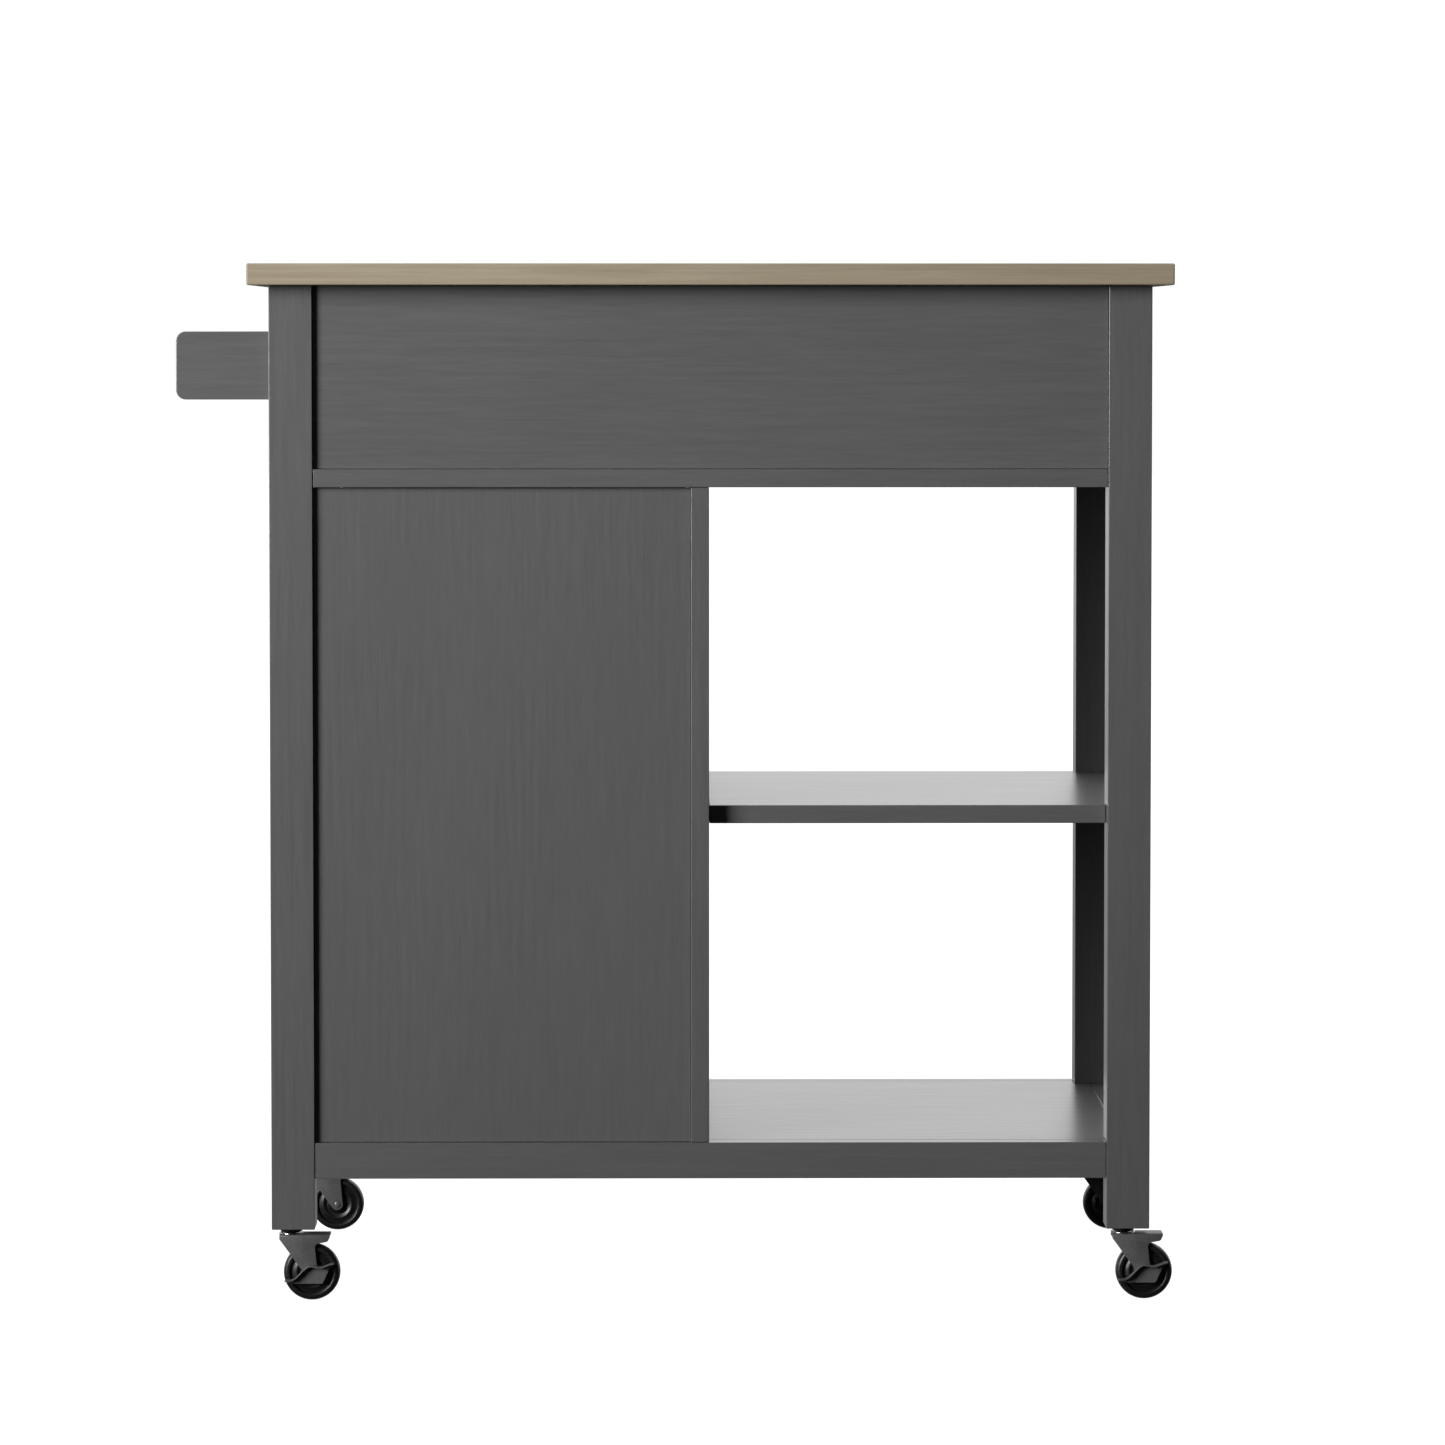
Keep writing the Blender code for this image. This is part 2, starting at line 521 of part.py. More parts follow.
def make_drawer(cart):
    """One wide drawer on two side-mounted slides."""
    origin = (0, FRONT_Y, 0)
    travel = pivot("drawer_travel", origin, cart)
    face_x = LEG_IN_X - REVEAL
    face_z = (DECK_TOP + REVEAL, FRAME_TOP - TOP_RAIL_HEIGHT - REVEAL)
    board("drawer_front", (-face_x, FRONT_Y, face_z[0]), (face_x, DRAWER_FRONT_BACK_Y, face_z[1]),
          PAINT, travel, EDGE, origin)

    box_front = DRAWER_FRONT_BACK_Y + GAP
    box_back = box_front + DRAWER_BOX_LENGTH
    side_low = DRAWER_BOX_Z + THIN_PANEL + GAP
    side_high = DRAWER_BOX_Z + DRAWER_BOX_HEIGHT
    board("drawer_bottom", (-DRAWER_BOX_X, box_front, DRAWER_BOX_Z),
          (DRAWER_BOX_X, box_back, DRAWER_BOX_Z + THIN_PANEL), BOARD_BACKING, travel, THIN_EDGE, origin)
    inner_x = DRAWER_BOX_X - DRAWER_SIDE
    for name, side in (("drawer_side_left", 1), ("drawer_side_right", -1)):
        xs = span_for(side, inner_x, DRAWER_BOX_X)
        board(name, (xs[0], box_front, side_low), (xs[1], box_back, side_high), BARE_WOOD, travel,
              FINE_EDGE, origin)
    board("drawer_back", (-inner_x + GAP, box_back - DRAWER_SIDE, side_low),
          (inner_x - GAP, box_back, side_high), BARE_WOOD, travel, FINE_EDGE, origin)

    slide_z = (side_low + side_high) / 2
    slide_front = box_front + SLIDE_SETBACK
    slide_back = slide_front + SLIDE_LENGTH
    fixed_half = SLIDE_HEIGHT / 2
    for name, side in (("slide_left", 1), ("slide_right", -1)):
        outer = slide_section(side, LEG_IN_X - GAP, fixed_half, -1)
        inner = slide_section(side, DRAWER_BOX_X + GAP, fixed_half - SLIDE_NEST, 1)
        outer = [(x, z + slide_z) for x, z in outer]
        inner = [(x, z + slide_z) for x, z in inner]
        prism(name + "_fixed", outer, "Y", slide_front, slide_back, ZINC, cart, 0)
        prism(name + "_moving", inner, "Y", slide_front, slide_back, ZINC, travel, 0, origin)

    knob_z = (face_z[0] + face_z[1]) / 2
    for name, x in (("drawer_knob_left", DRAWER_KNOB_X), ("drawer_knob_right", -DRAWER_KNOB_X)):
        make_knob(name, x, knob_z, travel, origin)


# ---------------------------------------------------------------- casters

def fork_outline():
    """Side view of the fork: x runs along the trail, from the swivel axis towards the axle."""
    nose = -0.0101
    shoulder = 0.0548
    eye_radius = 0.0054
    inner_bend, inner_radius = (0.0254, 0.0472), 0.0040
    outer_bend, outer_radius = (0.0299, 0.0562), 0.0042
    tab_end = 0.0346
    run_x = TRAIL - nose
    run_z = WHEEL_RADIUS - shoulder
    slope = atan2(run_z, run_x) - asin(eye_radius / hypot(run_x, run_z))
    tangent = slope * 180 / pi - 90
    outline = [(nose, FORK_TOP), (nose, shoulder)]
    outline += arc((TRAIL, WHEEL_RADIUS), eye_radius, tangent, 5, 9)
    outline += arc(inner_bend, inner_radius, 180, 90, 3)
    outline += arc(outer_bend, outer_radius, -90, -10, 3)
    outline.append((tab_end, FORK_TOP))
    return [(-x, z) for x, z in outline]


def make_fork(name, swivel):
    """Pressed steel fork: two cheeks under a top plate, with a raised ring round the stem."""
    half = FORK_WIDTH / 2
    fork = prism(name, fork_outline(), "Y", -half, half, PRESSED_STEEL, swivel, 0)
    inner = half - FORK_SHEET
    reach = 2 * WHEEL_RADIUS
    tunnel = board(name + "_tunnel", (-reach, -inner, 0), (reach, inner, FORK_TOP - FORK_SHEET),
                   ZINC, swivel, 0)
    combine(fork, tunnel, "DIFFERENCE")
    race = rod_tool(name + "_race", RACE_RADIUS, FORK_TOP - FORK_SHEET / 2, FORK_TOP + RACE_HEIGHT,
                    (0, 0, 0), swivel)
    combine(fork, race, "UNION")
    hole = rod_tool(name + "_hole", STEM_RADIUS + GAP, FORK_TOP - CUT_SPARE, FORK_TOP + CUT_SPARE,
                    (0, 0, 0), swivel)
    combine(fork, hole, "DIFFERENCE")
    axle_hole = rod_tool(name + "_axle_hole", AXLE_RADIUS + AXLE_SLACK, -FORK_WIDTH, FORK_WIDTH,
                         (-TRAIL, 0, WHEEL_RADIUS), swivel, tilt=(pi / 2, 0, 0))
    combine(fork, axle_hole, "DIFFERENCE")


def make_stem(name, place, cart):
    """Stem with a collar against the leg and a riveted foot under the fork's top plate."""
    plate_bottom = FORK_TOP - FORK_SHEET - GAP
    collar_bottom = FORK_TOP + RACE_HEIGHT + GAP
    foot_overhang, foot_thick = STEM_FOOT
    foot = STEM_RADIUS + foot_overhang
    foot_bottom = plate_bottom - foot_thick
    stem_top = LEG_BOTTOM + STEM_DEPTH
    profile = [
        (0, foot_bottom), (foot, foot_bottom), (foot, plate_bottom),
        (STEM_RADIUS, plate_bottom), (STEM_RADIUS, collar_bottom), (COLLAR_RADIUS, collar_bottom),
        (COLLAR_RADIUS, LEG_BOTTOM - GAP), (STEM_RADIUS, LEG_BOTTOM - GAP),
        (STEM_RADIUS, stem_top - STEM_CHAMFER), (STEM_RADIUS - STEM_CHAMFER, stem_top), (0, stem_top),
    ]
    turned(name, profile, place, cart, BLACK_PLASTIC, sides=SMALL_ROUND)


def make_wheel(name, axle):
    """Wheel with a hub, a dished web and a tread with rounded shoulders."""
    half = WHEEL_WIDTH / 2
    bore = AXLE_RADIUS + AXLE_SLACK
    web = half - WEB_DISH
    rim = half - GAP
    face = [(bore, half), (HUB_RADIUS, half), (HUB_RADIUS + WEB_DISH, web), (0.56 * WHEEL_RADIUS, web),
            (0.64 * WHEEL_RADIUS, rim), (WHEEL_RADIUS - SHOULDER, rim), (WHEEL_RADIUS, half - SHOULDER)]
    profile = face + [(radius, -height) for radius, height in reversed(face)]
    turned(name, profile, (0, 0, 0), axle, BLACK_PLASTIC, closed=True, tilt=(pi / 2, 0, 0))


def make_axle(name, swivel, braked):
    """Rivet along Y through the fork; under a brake pedal its +Y end is flush with the pedal's cheek."""
    front = -FORK_WIDTH / 2 - GAP
    head = AXLE_HEAD_THICK
    crown = AXLE_HEAD - AXLE_HEAD_CHAMFER
    profile = [(0, front - head), (crown, front - head), (AXLE_HEAD, front - head / 2),
               (AXLE_HEAD, front), (AXLE_RADIUS, front)]
    back = -front
    if braked:
        profile += [(AXLE_RADIUS, back + PEDAL_SHEET), (0, back + PEDAL_SHEET)]
    else:
        profile += [(AXLE_RADIUS, back), (AXLE_HEAD, back), (AXLE_HEAD, back + head / 2),
                    (crown, back + head), (0, back + head)]
    turned(name, profile, (-TRAIL, 0, WHEEL_RADIUS), swivel, ZINC, sides=SMALL_ROUND, tilt=(-pi / 2, 0, 0))


def between(points, x):
    """Read a broken line at x."""
    for (x0, z0), (x1, z1) in zip(points, points[1:]):
        if x <= x1:
            return z0 + (z1 - z0) * (x - x0) / (x1 - x0)
    return points[-1][1]


def smooth_between(points, x):
    """Read a curve that eases from point to point at x."""
    for (x0, z0), (x1, z1) in zip(points, points[1:]):
        if x <= x1:
            part = (x - x0) / (x1 - x0)
            return z0 + (z1 - z0) * part * part * (3 - 2 * part)
    return points[-1][1]


def make_pedal(name, axle):
    """Rocking brake pedal: a wavy foot lip with a cheek plate hung from it, round the axle."""
    lip_line = [(-0.0052, 0.0192), (0.0000, 0.0196), (0.0180, 0.0322), (0.0262, 0.0311), (0.0383, 0.0345)]
    cheek_line = [(-0.0052, 0.0172), (0.0040, 0.0155), (0.0280, 0.0155), (0.0346, 0.0296), (0.0383, 0.0326)]
    inner = FORK_WIDTH / 2 + GAP
    outer = inner + PEDAL_REACH
    cheek = inner + PEDAL_SHEET
    first, last = lip_line[0][0], lip_line[-1][0]
    bm = bmesh.new()
    rings = []
    for station in range(PEDAL_STATIONS + 1):
        x = first + (last - first) * station / PEDAL_STATIONS
        lip = smooth_between(lip_line, x)
        under = lip - PEDAL_SHEET
        foot = min(between(cheek_line, x), under - CHEEK_STEP)
        section = [(inner, lip), (outer, lip), (outer, under), (cheek, under), (cheek, foot), (inner, foot)]
        rings.append([bm.verts.new((TRAIL - x, y, z - WHEEL_RADIUS)) for y, z in section])
    for ring, following in zip(rings, rings[1:]):
        for index in range(len(ring)):
            after = (index + 1) % len(ring)
            bm.faces.new((ring[index], ring[after], following[after], following[index]))
    bm.faces.new(rings[0])
    bm.faces.new(rings[-1])
    pedal = piece_from(name, bm, (0, 0, 0), axle, PRESSED_STEEL)
    hole = rod_tool(name + "_hole", AXLE_RADIUS + AXLE_SLACK, -FORK_WIDTH, FORK_WIDTH, (0, 0, 0), axle,
                    tilt=(pi / 2, 0, 0))
    combine(pedal, hole, "DIFFERENCE")


def make_casters(cart):
    """One caster under each leg; the two at the back have a brake pedal."""
    for end, side_x in (("left", 1), ("right", -1)):
        for face, side_y in (("front", -1), ("back", 1)):
            name = f"caster_{face}_{end}"
            place = (side_x * LEG_MID_X + STEM_SHIFT, side_y * LEG_MID_Y, 0)
            swivel = pivot(name + "_swivel", place, cart)
            axle = pivot(name + "_centre", (-TRAIL, 0, WHEEL_RADIUS), swivel)
            braked = face == "back"
            make_stem(name + "_stem", place, cart)
            make_fork(name + "_fork", swivel)
            make_wheel(name + "_wheel", axle)
            make_axle(name + "_axle", swivel, braked)
            if braked:
                make_pedal(name + "_brake", axle)


# ---------------------------------------------------------------- the cart

def main():
    for item in list(bpy.data.objects):
        bpy.data.objects.remove(item)
    cart = pivot("cart", (CART_X, CART_Y, 0))
    make_slab(cart)
    make_legs(cart)
    make_rails(cart)
    make_panels(cart)
    make_boards(cart)
    make_towel_bar(cart)
    make_casters(cart)
    make_door(cart)
    make_drawer(cart)


main()
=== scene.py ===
"""Looks of the wheeled kitchen cart: materials, fine pieces, floor, light and camera.

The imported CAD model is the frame. Boards, hinges and drawer slides keep their CAD solids and get their finish
here; the knobs, the towel rod and the casters get finer pieces. Metres, +Z up; the back of the cart faces +Y.
"""

from math import asin, atan2, cos, degrees, hypot, pi, radians, sin

import bmesh
import bpy
from mathutils import Matrix, Vector


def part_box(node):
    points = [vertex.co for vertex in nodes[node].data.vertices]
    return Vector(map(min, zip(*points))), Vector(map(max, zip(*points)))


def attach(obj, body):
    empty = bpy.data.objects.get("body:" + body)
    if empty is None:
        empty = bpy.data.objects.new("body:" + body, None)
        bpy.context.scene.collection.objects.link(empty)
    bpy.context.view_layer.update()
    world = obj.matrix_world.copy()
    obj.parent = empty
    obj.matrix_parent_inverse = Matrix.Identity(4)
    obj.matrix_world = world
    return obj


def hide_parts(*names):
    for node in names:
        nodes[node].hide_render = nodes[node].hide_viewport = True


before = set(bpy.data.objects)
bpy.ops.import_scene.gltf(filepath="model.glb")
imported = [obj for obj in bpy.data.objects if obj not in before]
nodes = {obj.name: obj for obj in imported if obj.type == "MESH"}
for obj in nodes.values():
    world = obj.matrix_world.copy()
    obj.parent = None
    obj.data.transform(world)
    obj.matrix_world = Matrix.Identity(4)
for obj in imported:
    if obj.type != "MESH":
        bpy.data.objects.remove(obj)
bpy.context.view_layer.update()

# ---------------------------------------------------------------- shader node helpers

NOISE_SPAN = (0.3, 0.7)     # most values of a noise lie in this span


class Shader:
    """A new material with short ways to add and join shader nodes."""

    def __init__(self, name):
        self.material = bpy.data.materials.new(name)
        self.material.use_nodes = True
        self.tree = self.material.node_tree
        self.surface = self.tree.nodes["Principled BSDF"]

    def set(self, **values):
        """Set the Principled shader's own sockets; underscores stand for spaces."""
        for key, value in values.items():
            self.surface.inputs[key.replace("_", " ")].default_value = value

    def feed(self, socket, value):
        """Join a source socket to a socket, or set the socket's own value."""
        if isinstance(value, bpy.types.NodeSocket):
            self.tree.links.new(value, socket)
        else:
            socket.default_value = value

    def node(self, kind, inputs=(), **settings):
        """Add a node; inputs are (socket, value or source socket) pairs."""
        made = self.tree.nodes.new(kind)
        for key, value in settings.items():
            setattr(made, key, value)
        for socket, value in inputs:
            self.feed(made.inputs[socket], value)
        return made

    def math(self, operation, first, second=0.0):
        return self.node("ShaderNodeMath", [(0, first), (1, second)], operation=operation).outputs[0]

    def product(self, first, *others):
        for other in others:
            first = self.math("MULTIPLY", first, other)
        return first

    def remap(self, value, low, high, to_low, to_high):
        """Map a range to another, clamped."""
        pairs = [("Value", value), ("From Min", low), ("From Max", high),
                 ("To Min", to_low), ("To Max", to_high)]
        return self.node("ShaderNodeMapRange", pairs).outputs["Result"]

    def vary(self, noise, low, high):
        """Turn a noise into a number between two limits."""
        return self.remap(noise, *NOISE_SPAN, low, high)

    def place(self, shift=(0, 0, 0), scale=(1, 1, 1)):
        """Object coordinates, scaled and then shifted."""
        source = self.node("ShaderNodeTexCoord").outputs["Object"]
        pairs = [("Vector", source), ("Location", shift), ("Scale", scale)]
        return self.node("ShaderNodeMapping", pairs).outputs["Vector"]

    def noise(self, vector, detail, roughness=0.5, distortion=0.0):
        pairs = [("Vector", vector), ("Scale", 1.0), ("Detail", detail), ("Roughness", roughness),
                 ("Distortion", distortion)]
        return self.node("ShaderNodeTexNoise", pairs).outputs["Fac"]

    def blend(self, part, first, second, kind="MIX"):
        """Mix two colours."""
        factor, colour_a, colour_b, result = 0, 6, 7, 2     # the Mix node's sockets for colours
        mix = self.node("ShaderNodeMix", data_type="RGBA", blend_type=kind)
        self.feed(mix.inputs[factor], part)
        self.feed(mix.inputs[colour_a], first)
        self.feed(mix.inputs[colour_b], second)
        return mix.outputs[result]

    def scaled(self, colour, factor):
        """Multiply a colour by a number that varies over the surface."""
        grey = self.node("ShaderNodeCombineColor", [(0, factor), (1, factor), (2, factor)]).outputs[0]
        return self.blend(1.0, colour, grey, "MULTIPLY")

    def bump(self, height, depth, strength):
        pairs = [("Height", height), ("Distance", depth), ("Strength", strength)]
        self.feed(self.surface.inputs["Normal"], self.node("ShaderNodeBump", pairs).outputs["Normal"])

    def colour(self, value):
        self.feed(self.surface.inputs["Base Color"], value)

    def roughness(self, value):
        self.feed(self.surface.inputs["Roughness"], value)


def along(axis, lengthwise, across):
    """Scale per axis for a grain that runs along one axis."""
    return tuple(lengthwise if letter == axis else across for letter in "XYZ")


def even(scale):
    """The same scale on every axis."""
    return (scale, scale, scale)


def offset(seed):
    """A shift that gives each board its own stretch of grain."""
    return (seed * 1.37 % 7.0, seed * 2.71 % 5.0, seed * 0.93 % 3.0)


# ---------------------------------------------------------------- materials

GREY = (0.108, 0.108, 0.108, 1)
STAVES = 12
STAVE_LIGHT = (0.360, 0.312, 0.226, 1)
STAVE_DARK = (0.262, 0.217, 0.148, 1)
STAVE_WARM = (0.345, 0.280, 0.190, 1)
PINE = (0.60, 0.45, 0.28, 1)
PINE_DARK = (0.45, 0.31, 0.17, 1)
HARDBOARD = (0.33, 0.235, 0.145, 1)


def paint(name, axis, seed):
    """Satin grey paint, brushed along the board, with the brush lines in colour, gloss and relief."""
    shader = Shader(name)
    shader.set(Specular_IOR_Level=0.30, Coat_Weight=1.0, Coat_Roughness=0.27, Coat_IOR=1.6)
    shift = offset(seed)
    fine = shader.noise(shader.place(shift, along(axis, 38, 950)), detail=4, roughness=0.62)
    stroke = shader.noise(shader.place(shift, along(axis, 9, 230)), detail=3, roughness=0.55)
    cloud = shader.noise(shader.place(shift, along(axis, 2.2, 9)), detail=2)
    tone = shader.product(shader.vary(fine, 0.93, 1.07), shader.vary(stroke, 0.955, 1.045),
                          shader.vary(cloud, 0.975, 1.025))
    shader.colour(shader.scaled(GREY, tone))
    shader.roughness(shader.math("ADD", shader.vary(stroke, 0.33, 0.41), shader.vary(fine, -0.03, 0.05)))
    relief = shader.math("ADD", fine, shader.math("MULTIPLY", stroke, 0.7))
    shader.bump(relief, depth=0.00006, strength=0.5)
    return shader.material


def butcher_block(name, low, high):
    """Edge-glued staves with their own tones, long grain on top and sides, end grain on the ends."""
    shader = Shader(name)
    margin = 0.001
    stave = (high.y - low.y + 2 * margin) / STAVES
    place = shader.node("ShaderNodeSeparateXYZ", [(0, shader.place())]).outputs
    rows = shader.math("DIVIDE", shader.math("SUBTRACT", place[1], low.y - margin), stave)
    row = shader.math("FLOOR", rows)

    def draw_lot(number):
        """A fixed random number for each stave."""
        lots = shader.node("ShaderNodeTexWhiteNoise", [("W", number)], noise_dimensions="1D")
        return lots.outputs["Value"]

    lot = draw_lot(row)
    lot_two = draw_lot(shader.math("ADD", row, 31.5))
    moved_x = shader.math("ADD", place[0], shader.math("MULTIPLY", lot, 6.0))
    moved_y = shader.math("ADD", place[1], shader.math("MULTIPLY", lot_two, 4.0))
    moved = shader.node("ShaderNodeCombineXYZ", [(0, moved_x), (1, moved_y), (2, place[2])]).outputs[0]

    def grain(lengthwise, across, **settings):
        scale = shader.node("ShaderNodeMapping", [("Vector", moved), ("Scale", (lengthwise, across, across))])
        return shader.noise(scale.outputs["Vector"], **settings)

    figure = grain(2.6, 58, detail=4, roughness=0.55, distortion=0.6)
    streak = grain(9, 420, detail=4, roughness=0.65)
    pore = grain(45, 1500, detail=2, roughness=0.6)
    ring = grain(1.2, 150, detail=3, distortion=1.2)

    part = shader.math("FRACT", rows)
    gap = shader.math("MINIMUM", part, shader.math("SUBTRACT", 1.0, part))
    joint = shader.remap(shader.math("MULTIPLY", gap, stave), 0.0002, 0.0005, 1.0, 0.0)
    normal = shader.node("ShaderNodeNewGeometry").outputs["Normal"]
    normal_x = shader.node("ShaderNodeSeparateXYZ", [(0, normal)]).outputs[0]
    end = shader.remap(shader.math("ABSOLUTE", normal_x), 0.6, 0.9, 0.0, 1.0)

    base = shader.blend(shader.remap(figure, 0.34, 0.66, 0.0, 1.0), STAVE_DARK, STAVE_LIGHT)
    warm = shader.blend(shader.remap(lot_two, 0, 1, 0, 0.55), base, STAVE_WARM)
    tone = shader.product(
        shader.remap(lot, 0, 1, 0.84, 1.12), shader.vary(streak, 0.90, 1.09),
        shader.remap(pore, 0.62, 0.80, 1.0, 0.74), shader.remap(ring, 0.35, 0.65, 0.95, 1.05),
        shader.remap(joint, 0, 1, 1.0, 0.62), shader.remap(end, 0, 1, 1.0, 0.74))
    shader.colour(shader.scaled(warm, tone))
    shader.roughness(shader.math("ADD", shader.vary(streak, 0.46, 0.56), shader.remap(joint, 0, 1, 0, 0.2)))
    relief = shader.math("ADD", streak, shader.math("MULTIPLY", pore, -0.6))
    shader.bump(shader.math("SUBTRACT", relief, joint), depth=0.00008, strength=0.6)
    return shader.material


def plain_wood(name, axis, seed, light, dark):
    """Sanded softwood with long growth lines."""
    shader = Shader(name)
    shift = offset(seed)
    lines = shader.noise(shader.place(shift, along(axis, 1.6, 75)), detail=3, distortion=0.8)
    streak = shader.noise(shader.place(shift, along(axis, 14, 620)), detail=3, roughness=0.6)
    colour = shader.blend(shader.remap(lines, 0.38, 0.62, 0, 1), light, dark)
    shader.colour(shader.scaled(colour, shader.vary(streak, 0.92, 1.07)))
    shader.roughness(shader.vary(streak, 0.52, 0.66))
    shader.bump(shader.math("ADD", streak, lines), depth=0.0001, strength=0.5)
    return shader.material


def backing_board(name):
    """Hardboard: a fine pressed fibre speckle."""
    shader = Shader(name)
    fibre = shader.noise(shader.place((1, 2, 3), even(260)), detail=5, roughness=0.75, distortion=1.5)
    speck = shader.noise(shader.place((4, 5, 6), even(900)), detail=2)
    tone = shader.product(shader.vary(fibre, 0.85, 1.12), shader.vary(speck, 0.93, 1.06))
    shader.colour(shader.scaled(HARDBOARD, tone))
    shader.roughness(shader.vary(fibre, 0.6, 0.75))
    shader.bump(fibre, depth=0.00012, strength=0.6)
    return shader.material


def metal(name, colour, rough, grain, metallic=1.0):
    """Brushed or plated metal; grain is the noise scale per axis."""
    shader = Shader(name)
    shader.set(Metallic=metallic)
    brush = shader.noise(shader.place((2, 1, 4), grain), detail=4, roughness=0.6)
    stain = shader.noise(shader.place((1, 3, 2), even(60)), detail=3)
    tone = shader.product(shader.vary(brush, 0.9, 1.08), shader.vary(stain, 0.92, 1.05))
    shader.colour(shader.scaled(colour, tone))
    brushed = shader.vary(brush, rough - 0.06, rough + 0.06)
    shader.roughness(shader.math("ADD", brushed, shader.vary(stain, -0.03, 0.05)))
    shader.bump(brush, depth=0.00003, strength=0.6)
    return shader.material


def plastic(name, colour, rough, scuff):
    """Moulded plastic with a faint mottle and fine scuffs; scuff is the roughness that the scuffs add."""
    shader = Shader(name)
    mottle = shader.noise(shader.place((3, 1, 2), even(420)), detail=3)
    scuffs = shader.noise(shader.place((5, 2, 1), along("Y", 700, 90)), detail=4, roughness=0.7)
    shader.colour(shader.scaled(colour, shader.remap(scuffs, 0.35, 0.75, 0.85, 1.7)))
    mottled = shader.vary(mottle, rough - 0.02, rough + 0.02)
    shader.roughness(shader.math("ADD", mottled, shader.remap(scuffs, 0.45, 0.8, 0.0, scuff)))
    shader.bump(mottle, depth=0.00002, strength=0.4)
    return shader.material


# ---------------------------------------------------------------- finish on the CAD boards and hardware

WELD_DISTANCE = 0.000002
STEEP_EDGE = radians(50)    # a bevel's own edges are flatter than this, so they shade as a rounding


def smoothing_group():
    """Geometry nodes that weld a CAD solid's split corners and mark only its steep edges as sharp."""
    group = bpy.data.node_groups.new("weld_and_smooth", "GeometryNodeTree")
    group.interface.new_socket("Geometry", in_out="INPUT", socket_type="NodeSocketGeometry")
    group.interface.new_socket("Geometry", in_out="OUTPUT", socket_type="NodeSocketGeometry")
    start = group.nodes.new("NodeGroupInput")
    weld = group.nodes.new("GeometryNodeMergeByDistance")
    weld.inputs["Distance"].default_value = WELD_DISTANCE
    faces = group.nodes.new("GeometryNodeSetShadeSmooth")
    faces.domain = "FACE"
    edges = group.nodes.new("GeometryNodeSetShadeSmooth")
    edges.domain = "EDGE"
    edges.inputs["Shade Smooth"].default_value = False
    angle = group.nodes.new("GeometryNodeInputMeshEdgeAngle")
    steep = group.nodes.new("FunctionNodeCompare")
    steep.operation = "GREATER_THAN"
    steep.inputs[1].default_value = STEEP_EDGE
    end = group.nodes.new("NodeGroupOutput")
    link = group.links.new
    link(start.outputs[0], weld.inputs["Geometry"])
    link(weld.outputs["Geometry"], faces.inputs["Geometry"])
    link(faces.outputs["Geometry"], edges.inputs["Geometry"])
    link(angle.outputs["Unsigned Angle"], steep.inputs[0])
    link(steep.outputs[0], edges.inputs["Selection"])
    link(edges.outputs["Geometry"], end.inputs[0])
    return group


SMOOTHING = smoothing_group()


def dress(node, material):
    """Give a CAD node its material and smooth, edge-true shading."""
    board = nodes[node]
    board.data.materials.clear()
    board.data.materials.append(material)
    weld = board.modifiers.new("weld_and_smooth", "NODES")
    weld.node_group = SMOOTHING
    weights = board.modifiers.new("weighted_normals", "WEIGHTED_NORMAL")
    weights.mode = "FACE_AREA"
    weights.keep_sharp = True


# Painted nodes by the axis that their brush lines run along.
PAINTED = {
    "X": ("upper_back_panel", "back_bottom_rail", "front_bottom_rail", "front_top_rail", "drawer_deck",
          "middle_shelf", "bottom_shelf", "cabinet_shelf", "drawer_front", "door_rail_top",
          "door_rail_bottom", "towel_bracket_front", "towel_bracket_back"),
    "Y": ("bottom_end_rail", "drawer_end_apron"),
    "Z": ("leg_front_left", "leg_back_left", "leg_front_right", "leg_back_right", "cabinet_back_panel",
          "cabinet_side_panel", "divider", "door_stile_free", "door_stile_hinge", "door_panel"),
}
PLATED = ("slide_left_fixed", "slide_left_moving", "slide_right_fixed", "slide_right_moving",
          "hinge_top_leaf_frame", "hinge_top_leaf_door", "hinge_bottom_leaf_frame", "hinge_bottom_leaf_door")
ZINC = metal("zinc_plate", (0.46, 0.46, 0.47, 1), 0.34, (120, 420, 420))

painted = [(node, axis) for axis, names in PAINTED.items() for node in names]
for seed, (node_name, axis) in enumerate(painted, start=1):
    dress(node_name, paint("paint_" + node_name, axis, seed))
for node_name in PLATED:
    dress(node_name, ZINC)
dress("top_slab", butcher_block("butcher_block", *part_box("top_slab")))
dress("drawer_side_left", plain_wood("pine_side_left", "Y", 3, PINE, PINE_DARK))
dress("drawer_side_right", plain_wood("pine_side_right", "Y", 8, PINE, PINE_DARK))
dress("drawer_back", plain_wood("pine_back", "X", 5, PINE, PINE_DARK))
dress("drawer_bottom", backing_board("hardboard"))

# ---------------------------------------------------------------- piece helpers

FACING_BACK = Matrix.Rotation(-pi / 2, 4, "X")      # +Z of a turned piece to +Y
FACING_FRONT = Matrix.Rotation(pi / 2, 4, "X")      # +Z of a turned piece to -Y


def add_piece(name, bm, body, material, place=(0, 0, 0), turn=None, sharp=35, stands_for=()):
    """Turn a bmesh into a piece that rides on a CAD body."""
    bmesh.ops.recalc_face_normals(bm, faces=bm.faces)
    mesh = bpy.data.meshes.new(name)
    bm.to_mesh(mesh)
    bm.free()
    mesh.shade_smooth()
    mesh.set_sharp_from_angle(angle=radians(sharp))
    mesh.materials.append(material)
    made = bpy.data.objects.new(name, mesh)
    bpy.context.scene.collection.objects.link(made)
    made.matrix_world = Matrix.Translation(place) @ (turn or Matrix())
    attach(made, body)
    if stands_for:
        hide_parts(*stands_for)
    return made


